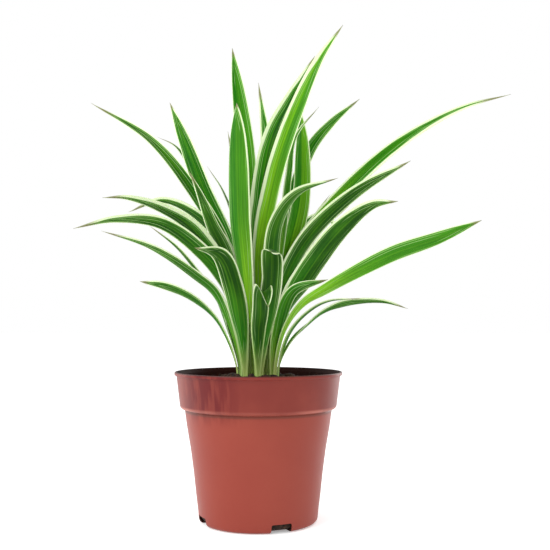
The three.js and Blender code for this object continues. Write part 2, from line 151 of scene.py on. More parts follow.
def tint(*screen):
    """A colour as a screen shows it, 0 to 255, as the linear one that shaders use."""
    shares = [value / 255 for value in screen]
    return (*(s / 12.92 if s <= 0.04045 else ((s + 0.055) / 1.055) ** 2.4 for s in shares), 1.0)


FLOOR_REACH = 8.0
FLOOR_LEVEL = -0.0002
FLOOR_SIDES = ((-1, -1), (1, -1), (1, 1), (-1, 1))
BOARD_WHITE = (0.90, 0.90, 0.90, 1)
BOARD_BRIGHT = (0.92, 0.92, 0.92, 1)
BOARD_GLOW = 0.32
floor_mesh = bpy.data.meshes.new("white_floor")
floor_corners = [(x * FLOOR_REACH, y * FLOOR_REACH, FLOOR_LEVEL) for x, y in FLOOR_SIDES]
floor_mesh.from_pydata(floor_corners, [], [(0, 1, 2, 3)])
white_floor = bpy.data.objects.new("white_floor", floor_mesh)
bpy.context.collection.objects.link(white_floor)
board, start = new_material("white_board")
place = start.node("ShaderNodeTexCoord", {}, {}, "Object")
finish_material(
    start,
    {
        "Base Color": blended(grain(place, 3.0), BOARD_WHITE, BOARD_BRIGHT),
        "Roughness": 0.9,
        "Emission Color": (1, 1, 1, 1),
        "Emission Strength": BOARD_GLOW,
    },
)
floor_mesh.materials.append(board)

ROOM_LIGHT = 1.0
room = bpy.data.worlds.new("bright_room")
room.use_nodes = True
room.node_tree.nodes["Background"].inputs["Color"].default_value = (1, 1, 1, 1)
room.node_tree.nodes["Background"].inputs["Strength"].default_value = ROOM_LIGHT
bpy.context.scene.world = room

# name, place, width and height in metres, power in watts
LAMPS = [
    ("front_lamp", (-0.70, -0.60, 0.95), (0.90, 0.90), 9.0),
    ("left_lamp", (-0.75, 0.45, 0.20), (0.12, 0.90), 2.2),
    ("right_lamp", (0.60, 0.70, 0.20), (0.16, 0.90), 3.5),
]
LAMP_AIM = Vector((0, 0, 0.15))
for name, spot, size, power in LAMPS:
    lamp_data = bpy.data.lights.new(name, "AREA")
    lamp_data.shape = "RECTANGLE"
    lamp_data.size, lamp_data.size_y = size
    lamp_data.energy = power
    lamp = bpy.data.objects.new(name, lamp_data)
    lamp.location = spot
    lamp.rotation_euler = (LAMP_AIM - Vector(spot)).to_track_quat("-Z", "Y").to_euler()
    bpy.context.collection.objects.link(lamp)


# The pot is drawn out of one sheet of polypropylene about a millimetre thick, brown-red outside and
# nearly black inside. A rounded shoulder carries the collar, the lip is rolled over, and four drain
# slots are punched through the corner of wall and floor.
POT_HEIGHT = 0.104
LIP_RADIUS = 0.0593
COLLAR_TOP_RADIUS = 0.0578
COLLAR_FOOT_RADIUS = 0.0550
GROOVE_LEVEL = 0.078
BODY_TOP_RADIUS = 0.0518
FOOT_RADIUS = 0.0414
POT_WALL = 0.0012
SHOULDER_WALL = 0.0010
POT_SIDES = 160
BODY = [(0.0422, 0.008), (0.0436, 0.019), (0.0454, 0.035), (0.0476, 0.051), (0.0504, 0.067)]
BODY_BULGE = 0.08  # how round the body's outline is at each of those points
SLOT_COUNT = 4
SLOT_WIDTH = 0.0145
SLOT_TOP = 0.006
SLOT_INNER_RADIUS = 0.032
SLOT_DEPTH = 0.020
SLOT_CORNER = 0.0012
SLOT_FIRST_ANGLE = math.radians(-67)
PUNCH_BELOW = 0.001  # how far a slot's punch reaches below the foot
ARC_STEPS = 6
SHARP_ANGLE = math.radians(40)


def rounded(corners):
    """The outline through (radius, height, rounding) corners, with an arc at each rounded one."""
    outline = []
    for i, (radius, height, rounding) in enumerate(corners):
        if not rounding:
            outline.append((radius, height))
            continue
        here = Vector((radius, height, 0))
        back = (Vector((*corners[i - 1][:2], 0)) - here).normalized()
        onwards = (Vector((*corners[i + 1][:2], 0)) - here).normalized()
        half = back.angle(onwards) / 2
        centre = here + (back + onwards).normalized() * (rounding / math.sin(half))
        first = (here + back * (rounding / math.tan(half)) - centre).normalized()
        last = (here + onwards * (rounding / math.tan(half)) - centre).normalized()
        for k in range(ARC_STEPS + 1):
            point = centre + first.slerp(last, k / ARC_STEPS) * rounding
            outline.append((point.x, point.y))
    return outline


def turned(name, outline, sides, skin_from=None):
    """An object with the outline turned about Z. From point skin_from on it has the second material."""
    shape = bmesh.new()
    rings = []
    for radius, height in outline:
        turns = [2 * math.pi * k / sides for k in range(sides)] if radius > 0 else [0]
        places = [(radius * math.cos(a), radius * math.sin(a), height) for a in turns]
        rings.append([shape.verts.new(place) for place in places])
    for i, (low, high) in enumerate(zip(rings, rings[1:])):
        for k in range(sides):
            after = (k + 1) % sides
            corners = [low[k % len(low)], low[after % len(low)]]
            corners += [high[after % len(high)], high[k % len(high)]]
            face = shape.faces.new(list(dict.fromkeys(corners)))
            face.smooth = True
            face.material_index = int(skin_from is not None and i >= skin_from)
    mesh = bpy.data.meshes.new(name)
    shape.to_mesh(mesh)
    shape.free()
    piece = bpy.data.objects.new(name, mesh)
    bpy.context.collection.objects.link(piece)
    return piece


def settled(piece):
    """Turns what a piece's modifiers make of it into its plain mesh."""
    seen = piece.evaluated_get(bpy.context.evaluated_depsgraph_get())
    mesh = bpy.data.meshes.new_from_object(seen)
    piece.modifiers.clear()
    piece.data = mesh
    mesh.name = piece.name
    return piece


def pot_side(inset, lift):
    """Corners up the pot's side, from above the foot to the collar, moved in and the shoulder up."""
    groove = GROOVE_LEVEL + lift
    return [
        *[(radius - inset, height, BODY_BULGE) for radius, height in BODY],
        (BODY_TOP_RADIUS - inset, groove - 0.0008, 0.0006),
        (BODY_TOP_RADIUS - 0.0002 - inset, groove + 0.0003, 0.0004),
        (COLLAR_FOOT_RADIUS - inset, groove + 0.0004, 0.0026),
    ]


# radius, height and rounding of each corner, from the middle of the foot to the lip and back down
outside = [
    (0, 0, 0),
    (FOOT_RADIUS, 0, 0.0034),
    *pot_side(0, 0),
    (COLLAR_TOP_RADIUS, POT_HEIGHT - 0.0026, 0.0007),
    (LIP_RADIUS - 0.0001, POT_HEIGHT - 0.0022, 0.0005),
    (LIP_RADIUS, POT_HEIGHT, 0.0008),
]
inside = [
    (COLLAR_TOP_RADIUS - 0.0001, POT_HEIGHT, 0.0008),
    (COLLAR_TOP_RADIUS - POT_WALL, POT_HEIGHT - 0.0030, 0.0010),
    *reversed(pot_side(POT_WALL, SHOULDER_WALL)),
    (FOOT_RADIUS - POT_WALL, POT_WALL, 0.0030),
    (0, POT_WALL, 0),
]
rolled_over = len(rounded([*outside, (*inside[0][:2], 0)])) - 1
pot = turned("nursery_pot", rounded(outside + inside), POT_SIDES, rolled_over)

punches = bmesh.new()
for i in range(SLOT_COUNT):
    turn = SLOT_FIRST_ANGLE + 2 * math.pi * i / SLOT_COUNT
    outwards = Vector((math.cos(turn), math.sin(turn), 0))
    sideways = Vector((-math.sin(turn), math.cos(turn), 0))
    half = SLOT_WIDTH / 2
    section = [(-half, -PUNCH_BELOW), (half, -PUNCH_BELOW)]
    for side in (1, -1):
        for k in range(ARC_STEPS + 1):
            a = math.pi / 2 * (k / ARC_STEPS if side > 0 else 1 - k / ARC_STEPS)
            flat = side * (half - SLOT_CORNER + SLOT_CORNER * math.cos(a))
            section.append((flat, SLOT_TOP - SLOT_CORNER + SLOT_CORNER * math.sin(a)))
    upwards = Vector((0, 0, 1))
    ends = []
    for radius in (SLOT_INNER_RADIUS, SLOT_INNER_RADIUS + SLOT_DEPTH):
        places = [outwards * radius + sideways * u + upwards * v for u, v in section]
        ends.append([punches.verts.new(place) for place in places])
    count = len(section)
    punches.faces.new(list(reversed(ends[0])))
    punches.faces.new(ends[1])
    for k in range(count):
        after = (k + 1) % count
        punches.faces.new((ends[0][k], ends[0][after], ends[1][after], ends[1][k]))
for face in punches.faces:
    face.material_index = 1
punch_mesh = bpy.data.meshes.new("slot_punches")
punches.to_mesh(punch_mesh)
punches.free()
punch = bpy.data.objects.new("slot_punches", punch_mesh)
bpy.context.collection.objects.link(punch)

plastic, start = new_material("red_polypropylene")
skin, skin_start = new_material("black_polypropylene")
for mesh in (pot.data, punch_mesh):
    mesh.materials.append(plastic)
    mesh.materials.append(skin)
cut = pot.modifiers.new("slots", "BOOLEAN")
cut.object = punch
cut.operation = "DIFFERENCE"
cut.solver = "EXACT"
settled(pot)
bpy.data.objects.remove(punch)
pot.data.set_sharp_from_angle(angle=SHARP_ANGLE)


def band(value, low, full, fading, gone):
    """0 below low and above gone, 1 between full and fading, and smooth at both ends."""
    return rise(value, low, full) * (1 - rise(value, fading, gone))


def bumped(height, strength, distance):
    """The surface's direction with a bump this strong and this many metres deep."""
    inputs = {"Strength": strength, "Distance": distance, "Height": height}
    return height.node("ShaderNodeBump", {}, inputs)


def marked(colour, marks):
    """A colour with marks over it. Each says where it lies, how strong it is and its own colour."""
    for where, strength, mark in marks:
        colour = blended(where * strength, colour, mark)
    return colour


BODY_RED = tint(136, 52, 38)
COLLAR_RED = tint(114, 35, 25)
CLOUD_RED = tint(146, 62, 46)
# DARK_STREAK_RED paints darker red upright streaks on the front left of the collar.
DARK_STREAK_RED = tint(92, 0, 4)
# HIGHLIGHT_RED is a painted highlight: the pale pinkish line that light draws along the rounding under the
# collar.
HIGHLIGHT_RED = tint(186, 112, 96)
# GROOVE_SHADE_BROWN is painted shade for the groove under the collar's overhang.
GROOVE_SHADE_BROWN = tint(84, 42, 28)
LIP_BROWN = tint(52, 20, 16)
SPECK_BROWN = tint(84, 44, 34)
# where a mark begins, is full, fades and ends
DARK_STREAKS_ACROSS = (-0.056, -0.040, -0.030, -0.004)  # from the axis to the right
LEDGE_HIGHLIGHT_SPAN = (0.0002, 0.0010, 0.0018, 0.0034)  # above the groove
GROOVE_SHADE_SPAN = (-0.0026, -0.0012, -0.0004, 0.0004)
place = start.node("ShaderNodeTexCoord", {}, {}, "Object")
x = place.node("ShaderNodeSeparateXYZ", {}, {0: place}, "X")
y, z = x.beside("Y"), x.beside("Z")
drawn_up = place.node("ShaderNodeMapping", {}, {"Vector": place, "Scale": (1, 1, 0.06)})
clouds = grain(place, 28.0, 4.0)
streaks = grain(drawn_up, 190.0)
scuffs = grain(place, 900.0, 2.0)
over_groove = z - GROOVE_LEVEL
# Darker red upright streaks down the front left of the collar.
front_left = band(x, *DARK_STREAKS_ACROSS) * (1 - rise(y, -0.02, 0.0))
dark_streaks = front_left * rise(z, 0.067, 0.084) * rise(streaks, 0.38, 0.56)
# Painted highlight along the rounding under the collar, stronger towards both ends where the light catches
# it.
ledge_highlight = band(over_groove, *LEDGE_HIGHLIGHT_SPAN) * rise(clouds, 0.25, 0.55)
# Painted shade in the groove, where the collar's overhang shades the body.
groove_shade = band(over_groove, *GROOVE_SHADE_SPAN)
lip_top = rise(z, POT_HEIGHT - 0.0010, POT_HEIGHT - 0.0002)
speckle = rise(grain(place, 2600.0, 1.0), 0.68, 0.78) * rise(clouds, 0.45, 0.7)
colour = marked(
    blended(rise(over_groove, -0.001, 0.002), BODY_RED, COLLAR_RED),
    [
        (rise(clouds, 0.35, 0.75), 0.35, CLOUD_RED),
        (dark_streaks, 0.9, DARK_STREAK_RED),
        (ledge_highlight, 0.15 + rise(abs(x), 0.015, 0.050) * 0.50, HIGHLIGHT_RED),
        (groove_shade, 0.55, GROOVE_SHADE_BROWN),
        (lip_top, 0.7, LIP_BROWN),
        (speckle, 0.3, SPECK_BROWN),
    ],
)
moulded = clouds * 0.6 + streaks * 0.3 + scuffs * 0.06
finish_material(
    start,
    {
        "Base Color": colour,
        "Roughness": 0.34 + clouds * 0.12 + scuffs * 0.08,
        "Specular IOR Level": 0.28,
        "Normal": bumped(moulded, 0.25, 0.0004),
    },
)

SKIN_BLACK = tint(40, 14, 10)
DUST_BROWN = tint(70, 38, 26)
DUST_FADES, DUST_TOP = 0.0950, 0.1015  # heights between which the splashed dust thins out
place = skin_start.node("ShaderNodeTexCoord", {}, {}, "Object")
height = place.node("ShaderNodeSeparateXYZ", {}, {0: place}, "Z")
dust = rise(grain(place, 240.0, 5.0), 0.50, 0.72) * (1 - rise(height, DUST_FADES, DUST_TOP))
finish_material(
    skin_start,
    {
        "Base Color": blended(dust * 0.7, SKIN_BLACK, DUST_BROWN),
        "Roughness": 0.55 + dust * 0.35,
        "Specular IOR Level": 0.05,
        "Normal": bumped(grain(place, 320.0, 4.0), 0.4, 0.0005),
    },
)
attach(pot, "root")
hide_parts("pot")


# The soil is dark peat mix that fills the pot to a little below its lip, mounded round the crowns.
# Its bed is one body that was poured in damp and lies against the wall.
SOIL_WALL_LEVEL = 0.095
SOIL_MIDDLE_LEVEL = 0.099
SOIL_GAP = 0.0003
SOIL_SIDES = 128
SOIL_RING_PITCH = 0.0013
SOIL_WALL_RADIUS = 0.0554
MOUND_POWER = 1.5
LUMPS = 0.0008
FINE_LUMPS = 0.0003
WAVES = 0.00045  # height of the broad waves, which die away at the wall
TOP_TOLERANCE = 1e-5


def soil_level(x, y):
    """The height of the soil's top, mounded, uneven and lumpy."""
    share = min(1.0, math.hypot(x, y) / SOIL_WALL_RADIUS)
    mound = SOIL_MIDDLE_LEVEL + (SOIL_WALL_LEVEL - SOIL_MIDDLE_LEVEL) * share**MOUND_POWER
    uneven = math.sin(310 * x + 170 * y) + math.sin(130 * x - 360 * y + 1.3)
    lumps = LUMPS * noise.noise(Vector((x, y, 0)) * 260)
    fine_lumps = FINE_LUMPS * noise.noise(Vector((x, y, 1)) * 900)
    return mound + WAVES * uneven * (1 - share**4) + (lumps + fine_lumps)


soil_outline = rounded(
    [
        (0, POT_WALL + SOIL_GAP, 0),
        (FOOT_RADIUS - POT_WALL - SOIL_GAP, POT_WALL + SOIL_GAP, 0.0040),
        *pot_side(POT_WALL + SOIL_GAP, SHOULDER_WALL + SOIL_GAP),
        (SOIL_WALL_RADIUS, SOIL_WALL_LEVEL, 0),
    ]
)
top_rings = round(SOIL_WALL_RADIUS / SOIL_RING_PITCH)
for i in range(1, top_rings + 1):
    soil_outline.append((SOIL_WALL_RADIUS * (1 - i / top_rings), SOIL_WALL_LEVEL))
soil = turned("soil_bed", soil_outline, SOIL_SIDES)
surface = bmesh.new()
surface.from_mesh(soil.data)
for vertex in surface.verts:
    if vertex.co.z > SOIL_WALL_LEVEL - TOP_TOLERANCE:
        vertex.co.z = soil_level(vertex.co.x, vertex.co.y)
surface.to_mesh(soil.data)

PEAT_BLACK = tint(20, 11, 8)
PEAT_BROWN = tint(62, 42, 30)
PEAT_SPECK = tint(112, 84, 60)
peat, start = new_material("damp_peat")
place = start.node("ShaderNodeTexCoord", {}, {}, "Object")
crumbly = grain(place, 420.0, 6.0)
specks = rise(grain(place, 1500.0, 2.0), 0.62, 0.74)
colour = blended(rise(crumbly, 0.35, 0.70), PEAT_BLACK, PEAT_BROWN)
colour = blended(specks * 0.6, colour, PEAT_SPECK)
finish_material(
    start,
    {
        "Base Color": colour,
        "Roughness": 0.75 + crumbly * 0.25,
        "Specular IOR Level": 0.25,
        "Normal": bumped(crumbly + grain(place, 2400.0) * 0.4, 0.8, 0.0008),
    },
)
soil.data.materials.append(peat)
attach(soil, "root")
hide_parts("soil")


# Loose on the soil lie crumbs of peat, larger clods of it round the clump's foot, chips of bark and
# fibres. One tree strews them over the top of the bed, between the clump and the wall.
CLUMP_RADIUS = 0.016
CLODS_OUT_TO = 0.033
WALL_CLEARANCE = 0.6  # of the largest bit's size
MOST_TO_SQUARE_METRE = 2.0e6
CRUMB_SIZES = (0.0012, 0.0028)
CLOD_SIZES = (0.0055, 0.0098)
BARK_SIZES = (0.0035, 0.0065)
FIBRE_SIZES = (0.0050, 0.0110)
FIBRE_POINTS = 9
FIBRE_SIDES = 5
FIBRE_RADIUS = 0.025  # of its length
CRUMB_SEED = 4
GROUND_DEPTH = 0.002  # how far down the wall the ground that they are strewn on reaches
below = [v for v in surface.verts if v.co.z < SOIL_WALL_LEVEL - GROUND_DEPTH]
bmesh.ops.delete(surface, geom=below, context="VERTS")
surface_mesh = bpy.data.meshes.new("soil_surface")
surface.to_mesh(surface_mesh)
surface.free()


def new_tree(name, sizes):
    """A Geometry Nodes tree with an input for each size, and the wires that leave those inputs."""
    tree = bpy.data.node_groups.new(name, "GeometryNodeTree")
    tree.interface.new_socket("Geometry", in_out="OUTPUT", socket_type="NodeSocketGeometry")
    tree.interface.new_socket("Geometry", in_out="INPUT", socket_type="NodeSocketGeometry")
    for size, value in sizes.items():
        kind = "NodeSocketInt" if isinstance(value, int) else "NodeSocketFloat"
        tree.interface.new_socket(size, in_out="INPUT", socket_type=kind).default_value = value
    entry = tree.nodes.new("NodeGroupInput")
    return tree, {size: Wire(tree, entry.outputs[size]) for size in ("Geometry", *sizes)}


def grown(name, mesh, tree, sizes):
    """The plain piece that a tree makes of a mesh with these sizes."""
    piece = bpy.data.objects.new(name, mesh)
    bpy.context.collection.objects.link(piece)
    growth = piece.modifiers.new("growth", "NODES")
    growth.node_group = tree
    for socket in tree.interface.items_tree:
        if socket.name in sizes:
            growth[socket.identifier] = sizes[socket.name]
    return settled(piece)


def end_tree(geometry, material):
    """Ends a tree in real geometry with this material."""
    real = geometry.node("GeometryNodeRealizeInstances", {}, {"Geometry": geometry})
    dressed = real.node("GeometryNodeSetMaterial", {}, {"Geometry": real, "Material": material})
    dressed.node("NodeGroupOutput", {}, {"Geometry": dressed})


def random_value(wire, low, high, seed):
    return wire.node("FunctionNodeRandomValue", {}, {2: low, 3: high, "Seed": seed}, 1)


def random_vector(wire, low, high, seed):
    settings = {"data_type": "FLOAT_VECTOR"}
    return wire.node("FunctionNodeRandomValue", settings, {0: low, 1: high, "Seed": seed}, 0)


def scattered(surface, form, spacing, sizes, seed, out_to=SOIL_WALL_RADIUS):
    """Copies of a form on the soil, turned every way and at least spacing apart, round the clump."""
    points = surface.node(
        "GeometryNodeDistributePointsOnFaces",
        {"distribute_method": "POISSON"},
        {"Mesh": surface, "Distance Min": spacing, "Density Max": MOST_TO_SQUARE_METRE, "Seed": seed},
    )
    flat = flat_place(points)
    radius = points.node("ShaderNodeVectorMath", {"operation": "LENGTH"}, {0: flat}, "Value")
    outer = out_to - sizes[1] * WALL_CLEARANCE
    middle, half = (CLUMP_RADIUS + outer) / 2, (outer - CLUMP_RADIUS) / 2
    return points.node(
        "GeometryNodeInstanceOnPoints",
        {},
        {
            "Points": points,
            "Selection": radius.maths("COMPARE", radius, middle, half),
            "Instance": form,
            "Rotation": random_vector(points, (-math.pi,) * 3, (math.pi,) * 3, seed + 1),
            "Scale": random_value(points, *sizes, seed + 2),
        },
    )


def flat_place(wire):
    """Where a point is, seen from above."""
    place = wire.node("GeometryNodeInputPosition", {}, {})
    return place.vectors("MULTIPLY", place, (1, 1, 0))


def scaled(vector, amount):
    return vector.node("ShaderNodeVectorMath", {"operation": "SCALE"}, {0: vector, 3: amount})


def seeded_noise(place, seed, scale, output=0):
    """Noise of its own for each seed."""
    inputs = {"Vector": place, "W": seed, "Scale": scale}
    return place.node("ShaderNodeTexNoise", {"noise_dimensions": "4D"}, inputs, output)


def lump(wire, shape, seed):
    """A small irregular lump, about 1 metre across before it is scaled, stretched to a shape."""
    ball = wire.node("GeometryNodeMeshIcoSphere", {}, {"Radius": 0.5, "Subdivisions": 2})
    place = ball.node("GeometryNodeInputPosition", {}, {})
    uneven = scaled(place, 0.45 + seeded_noise(place, seed, 2.2) * 1.1)
    stretched = place.vectors("MULTIPLY", uneven, shape)
    return ball.node("GeometryNodeSetPosition", {}, {"Geometry": ball, "Position": stretched})


def fibre(wire, seed):
    """A crooked root hair or peat fibre, about 1 metre long before it is scaled."""
    line = wire.node("GeometryNodeCurvePrimitiveLine", {}, {"Start": (-0.5, 0, 0), "End": (0.5, 0, 0)})
    line = line.node("GeometryNodeResampleCurve", {}, {"Curve": line, "Count": FIBRE_POINTS})
    place = line.node("GeometryNodeInputPosition", {}, {})
    crook = seeded_noise(place, seed, 2.0, "Color")
    centred = crook.vectors("SUBTRACT", crook, (0.5, 0.5, 0.5))
    offset = centred.vectors("MULTIPLY", centred, (0.3, 0.9, 0.7))
    line = line.node("GeometryNodeSetPosition", {}, {"Geometry": line, "Offset": offset})
    ring = {"Resolution": FIBRE_SIDES, "Radius": FIBRE_RADIUS}
    section = line.node("GeometryNodeCurvePrimitiveCircle", {}, ring)
    drawn = {"Curve": line, "Profile Curve": section, "Fill Caps": True}
    return line.node("GeometryNodeCurveToMesh", {}, drawn)


crumb_tree, size = new_tree(
    "soil crumbs",
    {
        "Crumb Spacing": 0.0024,
        "Clod Spacing": 0.0048,
        "Bark Spacing": 0.0085,
        "Fibre Spacing": 0.0080,
        "Seed": CRUMB_SEED,
    },
)
bed = size["Geometry"]
seed = size["Seed"]
crumb = lump(bed, (1.0, 0.8, 0.7), 3.0)
clod = lump(bed, (1.0, 0.8, 0.9), 6.0)
bark_chip = lump(bed, (1.0, 0.55, 0.22), 8.0)
layers = [
    scattered(bed, crumb, size["Crumb Spacing"], CRUMB_SIZES, seed),
    scattered(bed, clod, size["Clod Spacing"], CLOD_SIZES, seed + 30, CLODS_OUT_TO),
    scattered(bed, bark_chip, size["Bark Spacing"], BARK_SIZES, seed + 10),
    scattered(bed, fibre(bed, 5.0), size["Fibre Spacing"], FIBRE_SIZES, seed + 20),
]
end_tree(bed.node("GeometryNodeJoinGeometry", {}, {"Geometry": layers}), peat)
crumbs = grown("soil_crumbs", surface_mesh, crumb_tree, {"Seed": CRUMB_SEED})
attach(crumbs, "root")


# The rootstock is the plant's living base: five pale crowns on a hub, with fleshy white roots that
# run down through the soil. It is one body that grew, and the leaves rise from its crowns.
ROOT_CREAM = tint(205, 196, 150)
ROOT_WHITE = tint(228, 222, 190)
ROOT_STAIN = tint(120, 92, 62)
root_skin, start = new_material("pale_root_skin")
place = start.node("ShaderNodeTexCoord", {}, {}, "Object")
drawn_round = place.node("ShaderNodeMapping", {}, {"Vector": place, "Scale": (1, 1, 3)})
rings = grain(drawn_round, 260.0, 4.0)
stains = rise(grain(place, 900.0), 0.58, 0.72)
colour = blended(rise(rings, 0.40, 0.65), ROOT_CREAM, ROOT_WHITE)
colour = blended(stains * 0.7, colour, ROOT_STAIN)
finish_material(
    start,
    {
        "Base Color": colour,
        "Roughness": 0.45 + rings * 0.25,
        "Normal": bumped(rings, 0.4, 0.0004),
    },
)
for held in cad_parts["rootstock"].material_slots:
    held.material = root_skin


# The leaves are single strap blades, each its own piece: a thin channelled blade that grows from its
# ring of a crown, narrows to a long fine tip, and is green between two margins of cream.
ROOT_LEVEL = 0.094
NECK_LEVEL = 0.108
SPREAD_LEVEL = 0.132
SPREAD_BELOW = 0.012  # at least this far below the first point of the row
NECK_SPREAD = 1.1
LEAF_SPREAD = 2.2
FIRST_RING = 0.0013
RING_PITCH = 0.00115
CROWNS = {
    "left": (-0.007, -0.0015),
    "middle": (-0.0005, -0.0065),
    "right": (0.0065, -0.001),
    "back_left": (-0.004, 0.0065),
    "back_right": (0.0045, 0.007),
}
